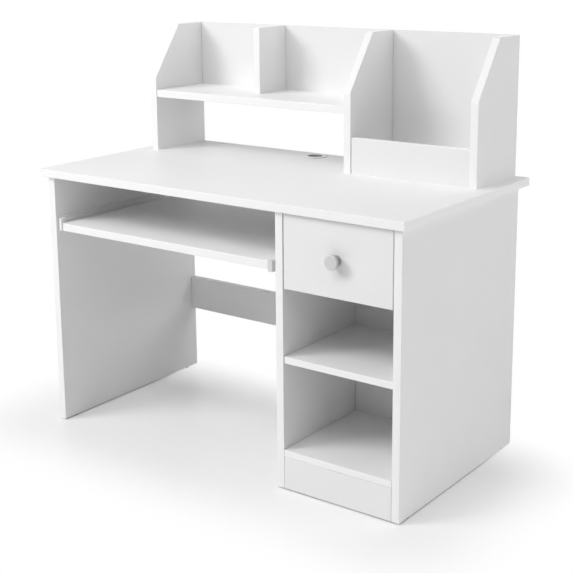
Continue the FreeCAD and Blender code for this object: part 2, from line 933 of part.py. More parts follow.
def runner_nodes():
    nodes = {}
    for kind, runs in (("tray", tray_runners), ("drawer", drawer_runners)):
        for side, run in runs.items():
            nodes[f"{kind}_channel_{side}"] = channel(run)
            nodes[f"{kind}_rail_{side}"] = rail(run)
            nodes[f"{kind}_front_roller_{side}"] = roller(run, front_roller_y(run))
            nodes[f"{kind}_rear_roller_{side}"] = roller(run, rear_roller_y(run))
        runs = list(runs.values())
        nodes[f"{kind}_rail_axles"] = group([rail_axle(run) for run in runs])
        screws = [foot_screw(place) for run in runs for place in foot_screw_places(run)]
        nodes[f"{kind}_rail_screws"] = group(screws)
    nodes["channel_axles"] = group([channel_axle(run) for run in all_runners])
    screws = [channel_screw(run, place) for run in all_runners for place in channel_screw_places(run)]
    nodes["channel_screws"] = group(screws)
    return nodes


def fastener_nodes():
    back_screws = back_screw_places("left") + back_screw_places("right")
    return {
        "desk_dowels": group([dowel(place) for place in desk_dowel_list]),
        "hutch_dowels": group([dowel(place) for place in hutch_dowel_list]),
        "drawer_dowels": group([dowel(place) for place in drawer_dowel_list]),
        "cam_locks": group([cam_lock(place) for place in cam_places()]),
        "cam_bolts": group([cam_bolt(place) for place in cam_places()]),
        "hutch_screws": group([hutch_screw(place) for place in hutch_screw_places()]),
        "back_panel_pins": group([pin(place) for place in pin_places()]),
        "drawer_back_screws": group([back_screw(place) for place in back_screws]),
    }


def all_nodes():
    nodes = {
        "desktop": desktop(),
        "left_side_panel": left_side_panel(),
        "centre_panel": centre_panel(),
        "right_side_panel": right_side_panel(),
        "modesty_board": modesty_board(),
        "pedestal_shelf": pedestal_shelf(),
        "pedestal_floor": pedestal_floor(),
        "plinth_board": plinth_board(),
        "pedestal_back_panel": pedestal_back_panel(),
        "cable_grommet": cable_grommet(),
        "floor_glides": floor_glides(),
        "hutch_left_panel": hutch_left_panel(),
        "hutch_partition": hutch_partition(),
        "hutch_right_panel": hutch_right_panel(),
        "hutch_shelf": hutch_shelf(),
        "hutch_divider": hutch_divider(),
        "hutch_back_left": hutch_back_left(),
        "hutch_back_right": hutch_back_right(),
        "hutch_lip": hutch_lip(),
        "drawer_front": drawer_front(),
        "drawer_left_side": drawer_side(box_left, box_inner_left, drawer_runners["left"]),
        "drawer_right_side": drawer_side(box_inner_right, box_right, drawer_runners["right"]),
        "drawer_back": drawer_back(),
        "drawer_bottom": drawer_bottom_panel(),
        "drawer_knob": drawer_knob(),
        "knob_screw": knob_screw(),
        "keyboard_tray": keyboard_tray(),
        "tray_end_cap_left": tray_end_cap_left(),
        "tray_end_cap_right": tray_end_cap_right(),
    }
    nodes.update(runner_nodes())
    nodes.update(fastener_nodes())
    return nodes


os.makedirs("parts", exist_ok=True)
for name, shape in all_nodes().items():
    shape.exportStep(f"parts/{name}.step")
    print(name, len(shape.Solids), round(shape.Volume), shape.isValid())
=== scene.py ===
"""Finishes, turned details and a studio stage for a white student desk with a hutch."""
import json
import math
from collections import namedtuple

import bmesh
import bpy
from bpy.props import FloatProperty, FloatVectorProperty, IntProperty, PointerProperty
from mathutils import Matrix, Vector

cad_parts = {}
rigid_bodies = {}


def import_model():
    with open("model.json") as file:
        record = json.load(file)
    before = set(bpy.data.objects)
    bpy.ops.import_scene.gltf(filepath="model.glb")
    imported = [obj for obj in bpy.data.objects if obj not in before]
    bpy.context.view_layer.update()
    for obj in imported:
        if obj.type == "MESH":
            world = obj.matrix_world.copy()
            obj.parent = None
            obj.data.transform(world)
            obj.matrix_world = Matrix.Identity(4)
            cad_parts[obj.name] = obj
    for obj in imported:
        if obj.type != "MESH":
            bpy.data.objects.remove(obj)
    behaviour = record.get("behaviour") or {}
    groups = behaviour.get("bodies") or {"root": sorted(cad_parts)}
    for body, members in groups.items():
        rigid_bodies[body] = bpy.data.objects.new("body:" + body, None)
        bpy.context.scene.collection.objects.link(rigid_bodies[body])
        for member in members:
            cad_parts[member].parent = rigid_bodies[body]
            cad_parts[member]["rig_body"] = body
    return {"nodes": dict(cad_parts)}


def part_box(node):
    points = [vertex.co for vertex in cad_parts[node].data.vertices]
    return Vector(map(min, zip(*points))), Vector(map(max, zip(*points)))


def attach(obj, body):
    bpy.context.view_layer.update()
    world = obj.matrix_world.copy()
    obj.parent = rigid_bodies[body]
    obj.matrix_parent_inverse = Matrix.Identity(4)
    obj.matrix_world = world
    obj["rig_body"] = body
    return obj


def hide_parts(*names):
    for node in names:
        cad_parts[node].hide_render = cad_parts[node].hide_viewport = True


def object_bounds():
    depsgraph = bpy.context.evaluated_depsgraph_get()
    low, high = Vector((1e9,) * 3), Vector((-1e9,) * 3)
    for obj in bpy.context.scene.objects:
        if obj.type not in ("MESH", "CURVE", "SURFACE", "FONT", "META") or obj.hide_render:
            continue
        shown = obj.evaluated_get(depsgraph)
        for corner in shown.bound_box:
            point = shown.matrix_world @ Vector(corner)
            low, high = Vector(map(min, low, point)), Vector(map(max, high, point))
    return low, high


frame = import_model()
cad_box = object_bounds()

bl_info = {
    "name": "Student Desk with Hutch",
    "version": (1, 0, 0),
    "blender": (4, 5, 0),
    "location": "View3D > Sidebar > Desk",
    "description": "Dresses the packed desk with board finishes, turned details and a studio stage",
    "category": "Object",
}

FULL_TURN = 2 * math.pi
WHITE = (1, 1, 1, 1)

# Metres: points this close are one, lengths this close are equal, and a place beyond all else.
WELD = 1e-6
SLACK = 1e-5
FAR = 10.0

BOARDS = (
    "desktop", "left_side_panel", "centre_panel", "right_side_panel", "modesty_board", "pedestal_shelf",
    "pedestal_floor", "plinth_board", "pedestal_back_panel", "hutch_left_panel", "hutch_partition",
    "hutch_right_panel", "hutch_shelf", "hutch_divider", "hutch_lip", "drawer_front", "drawer_left_side",
    "drawer_right_side", "drawer_back", "keyboard_tray",
)
PANELS = ("left_side_panel", "centre_panel", "right_side_panel")
STANDING = (*PANELS, "pedestal_floor", "plinth_board")
THIN_BOARDS = ("hutch_back_left", "hutch_back_right", "drawer_bottom")
STRIPS = tuple(f"{kind}_{strip}_{side}" for kind in ("tray", "drawer") for strip in ("channel", "rail")
               for side in ("left", "right"))
ROLLERS = tuple(f"{kind}_{end}_roller_{side}" for kind in ("tray", "drawer") for end in ("front", "rear")
                for side in ("left", "right"))
SCREWS = ("hutch_screws", "channel_screws", "tray_rail_screws", "drawer_rail_screws", "drawer_back_screws",
          "knob_screw")
PLATED = ("channel_axles", "tray_rail_axles", "drawer_rail_axles", "cam_bolts", "back_panel_pins")
DOWELS = ("desk_dowels", "hutch_dowels", "drawer_dowels")


# Settings

def colour(name, description, value):
    return FloatVectorProperty(name=name, description=description, default=value, size=3, min=0, max=1,
                               subtype="COLOR")


def length(name, description, value):
    return FloatProperty(name=name, description=description, default=value, min=0, unit="LENGTH",
                         subtype="DISTANCE", precision=5)


def angle(name, description, value):
    return FloatProperty(name=name, description=description, default=value, subtype="ANGLE")


def place(name, description, value):
    return FloatVectorProperty(name=name, description=description, default=value, size=3,
                               subtype="TRANSLATION", unit="LENGTH")


def share(name, description, value):
    return FloatProperty(name=name, description=description, default=value, min=0, max=1, subtype="FACTOR")


def power(name, description, value):
    return FloatProperty(name=name, description=description, default=value, min=0, unit="POWER")


def steps_round(name, description, value):
    return IntProperty(name=name, description=description, default=value, min=12, max=256)


class DeskFinishSettings(bpy.types.PropertyGroup):
    """Colours and surface values of the desk's finishes"""
    board: colour("Board", "White laminate on the boards", (0.86, 0.86, 0.865))
    band: colour("Edge Band", "Plastic band on the boards' edges", (0.935, 0.935, 0.938))
    glue: colour("Glue Line", "Line between a face and its edge band", (0.62, 0.62, 0.61))
    backing: colour("Thin Board", "Painted face of the thin boards", (0.85, 0.85, 0.855))
    knob: colour("Knob", "Satin grey of the knob's face", (0.66, 0.66, 0.665))
    # The knob's side and neck are painted darker than its face: painted shade.
    knob_side: colour("Knob Side", "Darker grey of the knob's side and neck", (0.30, 0.30, 0.305))
    white_plastic: colour("White Plastic", "Cable ring and left tray end", (0.92, 0.92, 0.92))
    grey_plastic: colour("Grey Plastic", "Right tray end", (0.70, 0.70, 0.705))
    # The cable ring's bore below its lip is painted dark grey: painted shade.
    sleeve: colour("Sleeve", "Shaded inside of the cable ring", (0.36, 0.36, 0.36))
    dark_plastic: colour("Dark Plastic", "Glides under the panels", (0.03, 0.03, 0.032))
    nylon: colour("Nylon", "Rollers", (0.78, 0.77, 0.72))
    coating: colour("Coating", "Powder coat on the runners", (0.92, 0.92, 0.92))
    zinc: colour("Zinc", "Plated screws, axles and fittings", (0.60, 0.61, 0.62))
    beech: colour("Beech", "Light wood of the dowels", (0.55, 0.36, 0.19))
    beech_dark: colour("Beech Grain", "Dark grain of the dowels", (0.36, 0.21, 0.10))
    band_thickness: length("Band Thickness", "Thickness of the edge band", 0.001)
    band_gloss: share("Band Gloss", "How much less rough the edge band is than the faces", 0.08)
    glue_width: length("Glue Width", "Half the width of the glue line", 0.00012)


class DeskDetailSettings(bpy.types.PropertyGroup):
    """Sizes of the turned and moulded details"""
    knob_foot: length("Knob Foot", "Height of the round foot on the drawer front", 0.005)
    knob_foot_inset: length("Knob Foot Inset", "How far the foot's radius is under the disc's", 0.0055)
    knob_neck_inset: length("Knob Neck Inset", "How far the neck's radius is under the disc's", 0.007)
    knob_disc: length("Knob Disc", "Thickness of the knob's disc", 0.009)
    knob_edge: length("Knob Edge", "Radius of the knob's small edges and hollows", 0.0008)
    knob_round: length("Knob Rounding", "Radius of the disc's front edge", 0.0028)
    knob_dish: length("Knob Dish", "How deep the knob's face is dished", 0.0004)
    # The knob's painted shade deepens over this distance behind its face.
    knob_shade: length("Knob Shade", "Distance over which the knob turns darker behind its face", 0.011)
    ring_bore: length("Ring Bore", "Radius of the hole in the cable ring", 0.024)
    ring_wall: length("Ring Wall", "Wall of the cable ring below the desktop", 0.002)
    ring_flange: length("Ring Flange", "Thickness of the flange on the desktop", 0.003)
    ring_round: length("Ring Rounding", "Radius of the flange's edges", 0.0013)
    # Below this lip the ring's bore turns into painted shade.
    ring_lip: length("Ring Lip", "Depth of the bright lip at the top of the bore", 0.0022)
    roller_bore: length("Roller Bore", "Radius of a roller's bore", 0.00255)
    roller_hub: length("Roller Hub", "Radius of a roller's hub", 0.0042)
    roller_rim: length("Roller Rim", "Inner radius of a roller's rim", 0.0067)
    roller_hollow: length("Roller Hollow", "Depth of the hollow between hub and rim", 0.0009)
    roller_round: length("Roller Rounding", "Radius of a roller's tread edge", 0.0012)
    glide_round: length("Glide Rounding", "Radius of a glide's lower edge", 0.0012)
    thread_pitch: length("Thread Pitch", "Distance between the threads of a screw", 0.0018)
    thread_depth: share("Thread Depth", "Share of a screw's radius that is cut away between threads", 0.22)
    recess_width: share("Recess Width", "Share of a head's radius that the cross recess reaches", 0.52)
    recess_depth: share("Recess Depth", "Depth of the cross recess as a share of its reach", 0.75)
    recess_limit: share("Recess Limit", "Largest share of a head's height that the recess takes", 0.8)
    recess_taper: share("Recess Taper", "Size of a recess's floor as a share of its opening", 0.72)
    lock_rim: length("Lock Rim", "Height of the rim round a cam lock's face", 0.0004)
    lock_recess_width: share("Lock Recess Width", "Share of a lock's radius that its recess reaches", 0.5)
    lock_recess_depth: share("Lock Recess Depth", "Depth of a lock's recess as a share of its reach", 0.3)
    fine_steps: steps_round("Fine Steps", "Steps round the knob and the cable ring", 96)
    medium_steps: steps_round("Medium Steps", "Steps round glides, rollers and locks", 48)
    small_steps: steps_round("Small Steps", "Steps round screws", 24)


class DeskStageSettings(bpy.types.PropertyGroup):
    """Camera, floor and lamps"""
    eye: place("Eye", "Where the camera stands", (1.96611, -2.62055, 1.36673))
    turn: angle("Turn", "Camera's turn to the left", 0.6365)
    tilt: angle("Tilt", "Camera's tilt down", 0.2138)
    roll: angle("Roll", "Camera's roll", -0.008)
    lens: FloatProperty(name="Lens", description="Focal length in millimetres", default=75.931, min=1,
                        unit="CAMERA")
    sensor: FloatProperty(name="Sensor", description="Sensor width in millimetres", default=36.0, min=1,
                          unit="CAMERA")
    shift: FloatProperty(name="Shift", description="Vertical shift of the frame", default=-0.14, min=-1,
                         max=1)
    floor_size: length("Floor Size", "Side of the floor", 40.0)
    floor: colour("Floor", "Pale floor", (0.90, 0.90, 0.90))
    floor_gloss: share("Floor Roughness", "Roughness of the floor", 0.30)
    # Away from the boards this share of the floor glows plain white: painted light that lightens the desk's
    # shadow on the floor.
    floor_lift: share("Floor Lift", "Share of plain white in the floor between the boards", 0.18)
    fade: length("Fade", "Distance from the desk at which the floor is plain white", 0.31)
    fade_back: length("Fade Back", "How far behind the middle the floor starts to fade", 0.05)
    ambient: FloatProperty(name="Ambient", description="Strength of the light from all round", default=0.13,
                           min=0)
    lit: place("Lit Point", "Point that all lamps face", (0, 0, 0.7))
    top_lamp: power("Top Lamp", "Large lamp overhead", 62.0)
    front_lamp: power("Front Lamp", "Large lamp above the front", 67.0)
    key_lamp: power("Key Lamp", "Soft lamp at the front left", 160.0)
    side_lamp: power("Side Lamp", "Soft lamp at the right", 31.0)
    back_lamp: power("Back Lamp", "Soft lamp at the back right", 94.0)


def finishes():
    return bpy.context.scene.desk_finish


def details():
    return bpy.context.scene.desk_detail


# Finishes

# Places of the mix node's colour sockets. Their names are shared with its other kinds of socket.
MIX_FIRST, MIX_SECOND, MIX_RESULT = 6, 7, 2
# How far below and above its mean a plastic's roughness goes.
PLASTIC_SMOOTHER, PLASTIC_ROUGHER = 0.05, 0.06
# How far the floor's roughness drifts either way.
FLOOR_DRIFT = 0.02


def plug(tree, socket, value):
    """Links an output to a socket, or sets the socket to a plain value."""
    if isinstance(value, bpy.types.NodeSocket):
        tree.links.new(value, socket)
    else:
        socket.default_value = value


def add(tree, kind, feeds=None, **settings):
    """Adds a node. Each feed is a value for an input, or the output that is linked to it."""
    made = tree.nodes.new(kind)
    for name, value in settings.items():
        setattr(made, name, value)
    for socket, value in (feeds or {}).items():
        plug(tree, made.inputs[socket], value)
    return made


def feed(tree, shader, **feeds):
    """Sets or links the shader's inputs. An underscore in a name stands for a space."""
    for name, value in feeds.items():
        plug(tree, shader.inputs[name.replace("_", " ")], value)


def calculate(tree, operation, *values):
    return add(tree, "ShaderNodeMath", dict(enumerate(values)), operation=operation).outputs[0]


def calculate_vector(tree, operation, *values):
    return add(tree, "ShaderNodeVectorMath", dict(enumerate(values)), operation=operation).outputs[0]


def noise(tree, where, scale, detail=3.0, roughness=0.55):
    return add(tree, "ShaderNodeTexNoise", {"Vector": where, "Scale": scale, "Detail": detail,
                                            "Roughness": roughness}).outputs["Fac"]


def spread(tree, pattern, low=0.0, high=1.0, start=0.3, end=0.7):
    """Turns a pattern that runs from start to end into values from low to high."""
    return add(tree, "ShaderNodeMapRange", {"Value": pattern, "From Min": start, "From Max": end,
                                            "To Min": low, "To Max": high}).outputs["Result"]


def blend(tree, factor, first, second):
    """Mixes two colours, each a colour or an output."""
    made = add(tree, "ShaderNodeMix", {"Factor": factor}, data_type="RGBA")
    for socket, value in ((MIX_FIRST, first), (MIX_SECOND, second)):
        linked = isinstance(value, bpy.types.NodeSocket)
        plug(tree, made.inputs[socket], value if linked else (*value, 1))
    return made.outputs[MIX_RESULT]


def tinted(base, factor):
    return tuple(min(1.0, channel * factor) for channel in base)


def clouded(tree, where, base, scale, darker, lighter=1.0, detail=3.0):
    """A colour that drifts between a darker and a lighter tint of its base."""
    cloud = spread(tree, noise(tree, where, scale, detail))
    return blend(tree, cloud, tinted(base, darker), tinted(base, lighter))


def drawn_out(tree, where, squeeze):
    """Coordinates in which a pattern is drawn out along Z."""
    return add(tree, "ShaderNodeMapping", {"Vector": where, "Scale": (1, 1, squeeze)}).outputs[0]


def bump(tree, height, strength, distance=0.0002):
    return add(tree, "ShaderNodeBump", {"Height": height, "Strength": strength,
                                        "Distance": distance}).outputs["Normal"]


def depth_inside(tree, where, low, high):
    """How far a point lies inside a box, from its nearest side. Less than 0 outside."""
    from_low = calculate_vector(tree, "SUBTRACT", where, low)
    from_high = calculate_vector(tree, "SUBTRACT", high, where)
    nearest = calculate_vector(tree, "MINIMUM", from_low, from_high)
    axes = add(tree, "ShaderNodeSeparateXYZ", {0: nearest}).outputs
    return calculate(tree, "MINIMUM", calculate(tree, "MINIMUM", axes["X"], axes["Y"]), axes["Z"])


def new_finish(name):
    """A material with its tree, its shader and the object's own coordinates in metres."""
    material = bpy.data.materials.new(name)
    material.use_nodes = True
    tree = material.node_tree
    where = add(tree, "ShaderNodeTexCoord").outputs["Object"]
    return material, tree, tree.nodes["Principled BSDF"], where


def edge_band_group():
    """Tells the edge band and its glue line from the distance to a board's edges."""
    values = finishes()
    group = bpy.data.node_groups.new("edge_band", "ShaderNodeTree")
    for name in ("Low", "High"):
        group.interface.new_socket(name, in_out="INPUT", socket_type="NodeSocketVector")
    for name in ("Band", "Glue"):
        group.interface.new_socket(name, in_out="OUTPUT", socket_type="NodeSocketFloat")
    ends = group.nodes.new("NodeGroupInput").outputs
    result = group.nodes.new("NodeGroupOutput").inputs
    where = add(group, "ShaderNodeTexCoord").outputs["Object"]
    distance = depth_inside(group, where, ends["Low"], ends["High"])
    thickness = values.band_thickness
    plug(group, result["Band"], calculate(group, "LESS_THAN", distance, thickness))
    plug(group, result["Glue"], calculate(group, "COMPARE", distance, thickness, values.glue_width))
    return group


def laminate(node, group):
    """White laminate with a fine pearl, faint clouding and banded edges."""
    values = finishes()
    material, tree, shader, where = new_finish(f"laminate_{node}")
    low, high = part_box(node)
    size = high - low
    across = min(range(3), key=lambda axis: size[axis])
    low[across], high[across] = -FAR, FAR
    edge = add(tree, "ShaderNodeGroup", {"Low": low, "High": high}, node_tree=group).outputs
    face = clouded(tree, where, values.board, scale=5.0, detail=4.0, darker=0.985, lighter=1.01)
    banded = blend(tree, edge["Band"], face, values.band)
    dust = noise(tree, where, scale=60.0, detail=6.0, roughness=0.65)
    pearl = noise(tree, where, scale=1500.0, detail=2.0)
    smoother = calculate(tree, "MULTIPLY", edge["Band"], values.band_gloss)
    feed(tree, shader, Base_Color=blend(tree, edge["Glue"], banded, values.glue),
         Roughness=calculate(tree, "SUBTRACT", spread(tree, dust, low=0.40, high=0.50), smoother),
         Normal=bump(tree, pearl, strength=0.06), IOR=1.48, Specular_IOR_Level=0.42)
    return material


def painted_hardboard():
    """Thin painted board with a faint roller texture."""
    material, tree, shader, where = new_finish("painted_hardboard")
    face = clouded(tree, where, finishes().backing, scale=7.0, detail=4.0, darker=0.98)
    streak = noise(tree, drawn_out(tree, where, squeeze=0.15), scale=420.0)
    feed(tree, shader, Base_Color=face, Roughness=spread(tree, streak, low=0.46, high=0.58),
         Normal=bump(tree, streak, strength=0.08), IOR=1.48, Specular_IOR_Level=0.40)
    return material


def plastic(tree, shader, where, face, roughness, grain):
    """Sets a shader to plastic with a fine spark-eroded grain."""
    texture = noise(tree, where, scale=grain, detail=2.0)
    low, high = roughness - PLASTIC_SMOOTHER, roughness + PLASTIC_ROUGHER
    feed(tree, shader, Base_Color=face, Roughness=spread(tree, texture, low, high),
         Normal=bump(tree, texture, strength=0.10), IOR=1.49, Specular_IOR_Level=0.45)


def moulded(name, base, roughness, grain):
    """Moulded plastic of an even colour."""
    material, tree, shader, where = new_finish(name)
    face = clouded(tree, where, base, scale=45.0, darker=0.965, lighter=1.02)
    plastic(tree, shader, where, face, roughness, grain)
    return material


def shade_graded_plastic(name, base, deep, axis, start, end):
    """Satin plastic that turns from one colour into a darker painted shade along an axis."""
    material, tree, shader, where = new_finish(name)
    along = add(tree, "ShaderNodeSeparateXYZ", {0: where}).outputs[axis]
    fresh = clouded(tree, where, base, scale=260.0, darker=0.96, lighter=1.03)
    # Blends the fresh colour into the deeper colour, which is painted shade, along the axis.
    face = blend(tree, spread(tree, along, start=start, end=end), fresh, deep)
    plastic(tree, shader, where, face, roughness=0.36, grain=1400.0)
    return material


def powder_coat():
    """Powder coated steel with its soft orange peel."""
    material, tree, shader, where = new_finish("powder_coat")
    face = clouded(tree, where, finishes().coating, scale=12.0, darker=0.97, lighter=1.02)
    peel = noise(tree, where, scale=700.0, detail=2.0)
    feed(tree, shader, Base_Color=face, Roughness=spread(tree, peel, low=0.30, high=0.42),
         Normal=bump(tree, peel, strength=0.18, distance=0.0003), IOR=1.5, Specular_IOR_Level=0.5)
    return material


def zinc_plate():
    """Bright zinc plate with faint spangle and wiped scratches."""
    material, tree, shader, where = new_finish("zinc_plate")
    face = clouded(tree, where, finishes().zinc, scale=380.0, darker=0.86, lighter=1.08)
    scratch = noise(tree, drawn_out(tree, where, squeeze=0.05), scale=2600.0, detail=4.0)
    feed(tree, shader, Base_Color=face, Roughness=spread(tree, scratch, low=0.24, high=0.42),
         Normal=bump(tree, scratch, strength=0.08, distance=0.0001), Metallic=1.0)
    return material


def turned_beech():
    """Beech with grain along Z and short dark flecks."""
    values = finishes()
    material, tree, shader, where = new_finish("turned_beech")
    along = drawn_out(tree, where, squeeze=0.12)
    grain = noise(tree, along, scale=900.0, detail=6.0, roughness=0.6)
    fleck = spread(tree, noise(tree, along, scale=2400.0, detail=2.0), start=0.56, end=0.68)
    wood = blend(tree, spread(tree, grain), values.beech_dark, values.beech)
    feed(tree, shader, Base_Color=blend(tree, fleck, wood, tinted(values.beech_dark, factor=0.7)),
         Roughness=spread(tree, grain, low=0.62, high=0.5), Normal=bump(tree, grain, strength=0.2))
    return material


def wear(piece, material):
    """Gives a piece or a CAD node one material."""
    piece.data.materials.clear()
    piece.data.materials.append(material)


def wear_all(nodes, material):
    for node in nodes:
        wear(frame["nodes"][node], material)


# Shapes

Fastener = namedtuple("Fastener", "top outward head_radius shank_radius head_height length sunk")

# Outlines in shares of a radius and of a height, from the top down. The lock's face has its rim's height.
SUNK_HEAD = ((0.68, 0), (0.95, 0), (1, 0.06))
ROUND_HEAD = ((0.68, 0), (0.84, 0.10), (0.95, 0.30), (1, 0.58), (1, 1))
LOCK_FACE = ((0.74, 1), (0.86, 1), (0.90, 0), (0.97, 0), (1, 1))
LOCK_DRUM = ((1, 0.36), (0.80, 0.40), (0.80, 0.78), (1, 0.82), (1, 1), (0, 1))

# Cells along each side of the grid that a cross recess is cut from.
CROSS_CELLS = 3
# Share of its depth that the knob's dish has halfway out.
DISH_HALFWAY = 0.75
# Edges that turn by more than this stay sharp.
SHARP = math.radians(35)


def corners(points):
    low = Vector(tuple(min(point[axis] for point in points) for axis in range(3)))
    high = Vector(tuple(max(point[axis] for point in points) for axis in range(3)))
    return low, high


def islands(node):
    """The points of each separate solid in a CAD node."""
    bm = bmesh.new()
    bm.from_mesh(frame["nodes"][node].data)
    bmesh.ops.remove_doubles(bm, verts=bm.verts, dist=WELD)
    left = set(bm.verts)
    found = []
    while left:
        reached = [left.pop()]
        for vert in reached:
            near = {edge.other_vert(vert) for edge in vert.link_edges} & left
            left -= near
            reached.extend(near)
        found.append([vert.co.copy() for vert in reached])
    bm.free()
    return found


def odd_axis(size):
    """The axis of a turned solid: the one whose extent differs from the other two."""
    pairs = {0: abs(size[1] - size[2]), 1: abs(size[0] - size[2]), 2: abs(size[0] - size[1])}
    return min(pairs, key=pairs.get)


def fastener(points):
    """The place and sizes of a screw or a glide, read from its points. Its head is its widest part."""
    low, high = corners(points)
    size, middle = high - low, (low + high) / 2
    axis = odd_axis(size)
    outward = Vector((0, 0, 0))
    outward[axis] = 1
    radii = [(point - middle).cross(outward).length for point in points]
    widest = max(radii)
    heads = [point[axis] for point, radius in zip(points, radii) if radius > widest - SLACK]
    if sum(heads) / len(heads) <= middle[axis]:
        outward.negate()
    top = middle + outward * size[axis] / 2
    depths = [(top - point).dot(outward) for point in points]
    slimmest = min(radius for radius, depth in zip(radii, depths) if depth > size[axis] - WELD)
    head_height = min(depth for radius, depth in zip(radii, depths) if radius < slimmest + SLACK)
    return Fastener(top, outward, head_radius=widest, shank_radius=slimmest, head_height=head_height,
                    length=size[axis], sunk=max(heads) - min(heads) < WELD)


def lock(points):
    """The place and sizes of a cam lock. Its face is at the side of the panel that it opens to."""
    low, high = corners(points)
    middle, depth, radius = (low + high) / 2, high.x - low.x, (high.z - low.z) / 2
    left, right = next(box for box in map(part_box, PANELS) if box[0].x <= middle.x <= box[1].x)
    outward = Vector((1 if abs(high.x - right.x) < abs(low.x - left.x) else -1, 0, 0))
    return Fastener(middle + outward * depth / 2, outward, head_radius=radius, shank_radius=radius,
                    head_height=depth, length=depth, sunk=False)


def scaled(shares, radius, height):
    """An outline of radius and height from shares of both, going down from 0."""
    return [(across * radius, -down * height) for across, down in shares]


def arc(centre, radius, start, end, steps=6):
    """Points of an outline on part of a circle, with angles in degrees."""
    turns = [math.radians(start + (end - start) * step / steps) for step in range(steps + 1)]
    return [(centre[0] + radius * math.cos(turn), centre[1] + radius * math.sin(turn)) for turn in turns]


def spun(outline, steps, closed=False):
    """A mesh turned about Z from an outline of radius and height."""
    bm = bmesh.new()
    verts = [bm.verts.new((radius, 0, height)) for radius, height in outline]
    pairs = list(zip(verts, verts[1:]))
    if closed:
        pairs.append((verts[-1], verts[0]))
    edges = [bm.edges.new(pair) for pair in pairs]
    bmesh.ops.spin(bm, geom=verts + edges, cent=(0, 0, 0), axis=(0, 0, 1), angle=FULL_TURN, steps=steps,
                   use_merge=True, use_duplicate=False)
    bmesh.ops.remove_doubles(bm, verts=bm.verts, dist=WELD)
    bmesh.ops.recalc_face_normals(bm, faces=bm.faces)
    return bm


def stand(bm, verts, origin, outward):
    """Turns a shape's Z to the outward direction and moves its origin."""
    turn = Vector(outward).to_track_quat("Z", "Y").to_matrix().to_4x4()
    bmesh.ops.transform(bm, matrix=Matrix.Translation(origin) @ turn, verts=verts)


def cut_cross(bm, reach, depth, level=0.0):
    """Closes the open round top, which lies at a level, with a cross recess."""
    rim = [edge for edge in bm.edges if edge.is_boundary]
    made = bmesh.ops.create_grid(bm, x_segments=CROSS_CELLS, y_segments=CROSS_CELLS, size=reach,
                                 matrix=Matrix.Translation((0, 0, level)))
    grid = {face for vert in made["verts"] for face in vert.link_faces}
    half_cell = reach / CROSS_CELLS
    outer = [face for face in grid if all(abs(c) > half_cell for c in face.calc_center_median().xy)]
    bmesh.ops.delete(bm, geom=outer, context="FACES")
    cross = [face for face in bm.faces if face in grid]
    border = [edge for face in cross for edge in face.edges if edge.is_boundary]
    bmesh.ops.bridge_loops(bm, edges=rim + border)
    deep = bmesh.ops.extrude_face_region(bm, geom=cross)["geom"]
    floor = [item for item in deep if isinstance(item, bmesh.types.BMVert)]
    taper = details().recess_taper
    bmesh.ops.translate(bm, vec=(0, 0, -depth), verts=floor)
    bmesh.ops.scale(bm, vec=(taper, taper, 1), verts=floor)
    bmesh.ops.recalc_face_normals(bm, faces=bm.faces)


def screw_shape(size):
    """A screw with a cross recess, its top at the origin and its shank down."""
    values = details()
    head, shank, height = size.head_radius, size.shank_radius, size.head_height
    outline = scaled(SUNK_HEAD if size.sunk else ROUND_HEAD, head, height)
    outline.append((shank, -height))
    root, pitch = shank * (1 - values.thread_depth), values.thread_pitch
    for turn in range(int((size.length - height - shank) / pitch)):
        level = height + (turn + 0.5) * pitch
        outline += [(root, -level), (shank, -level - pitch / 2)]
    outline += [(root, -size.length + shank), (0, -size.length)]
    bm = spun(outline, values.small_steps)
    reach = head * values.recess_width
    cut_cross(bm, reach, min(reach * values.recess_depth, height * values.recess_limit))
    return bm


def lock_shape(size):
    """A cam lock: a drum with a raised rim and a cross recess in its face."""
    values = details()
    radius, rim = size.head_radius, values.lock_rim
    outline = scaled(LOCK_FACE, radius, rim) + scaled(LOCK_DRUM, radius, size.length)
    bm = spun(outline, values.medium_steps)
    reach = radius * values.lock_recess_width
    cut_cross(bm, reach, reach * values.lock_recess_depth, level=-rim)
    return bm


def glide_shape(size):
    """A glide: a disc with a rounded foot and a spike up into the panel."""
    values = details()
    radius, rounding, spike = size.head_radius, values.glide_round, size.shank_radius
    outline = [(0, 0), (radius - rounding, 0)]
    outline += arc((radius - rounding, -rounding), rounding, 90, 0)
    outline += [(radius, -size.head_height), (spike, -size.head_height), (spike, -size.length + spike / 2),
                (spike / 2, -size.length), (0, -size.length)]
    return spun(outline, values.medium_steps)


def stamped(shape_of, sizes):
    """One mesh holding a shape for each fastener, in its place."""
    whole = bmesh.new()
    for size in sizes:
        single = shape_of(size)
        mesh = bpy.data.meshes.new("single")
        single.to_mesh(mesh)
        single.free()
        start = len(whole.verts)
        whole.from_mesh(mesh)
        bpy.data.meshes.remove(mesh)
        whole.verts.ensure_lookup_table()
        stand(whole, whole.verts[start:], size.top, size.outward)
    return whole


def new_object(name, bm):
    """An object in the scene, with a mesh made from a bmesh."""
    mesh = bpy.data.meshes.new(name)
    bm.to_mesh(mesh)
    bm.free()
    made = bpy.data.objects.new(name, mesh)
    bpy.context.scene.collection.objects.link(made)
    return made


def make_piece(name, bm, node, material):
    """Turns a mesh into a piece that stands for a CAD node and rides with it."""
    piece = new_object(name, bm)
    piece.data.shade_smooth()
    piece.data.set_sharp_from_angle(angle=SHARP)
    wear(piece, material)
    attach(piece, frame["nodes"][node]["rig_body"])
    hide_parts(node)


# Operators

class DESK_OT_boards(bpy.types.Operator):
    """Give each board its laminate and edge band"""
    bl_idname = "desk.boards"
    bl_label = "Boards"

    def execute(self, context):
        group = edge_band_group()
        for node in BOARDS:
            wear(frame["nodes"][node], laminate(node, group))
        wear_all(THIN_BOARDS, painted_hardboard())
        return {"FINISHED"}


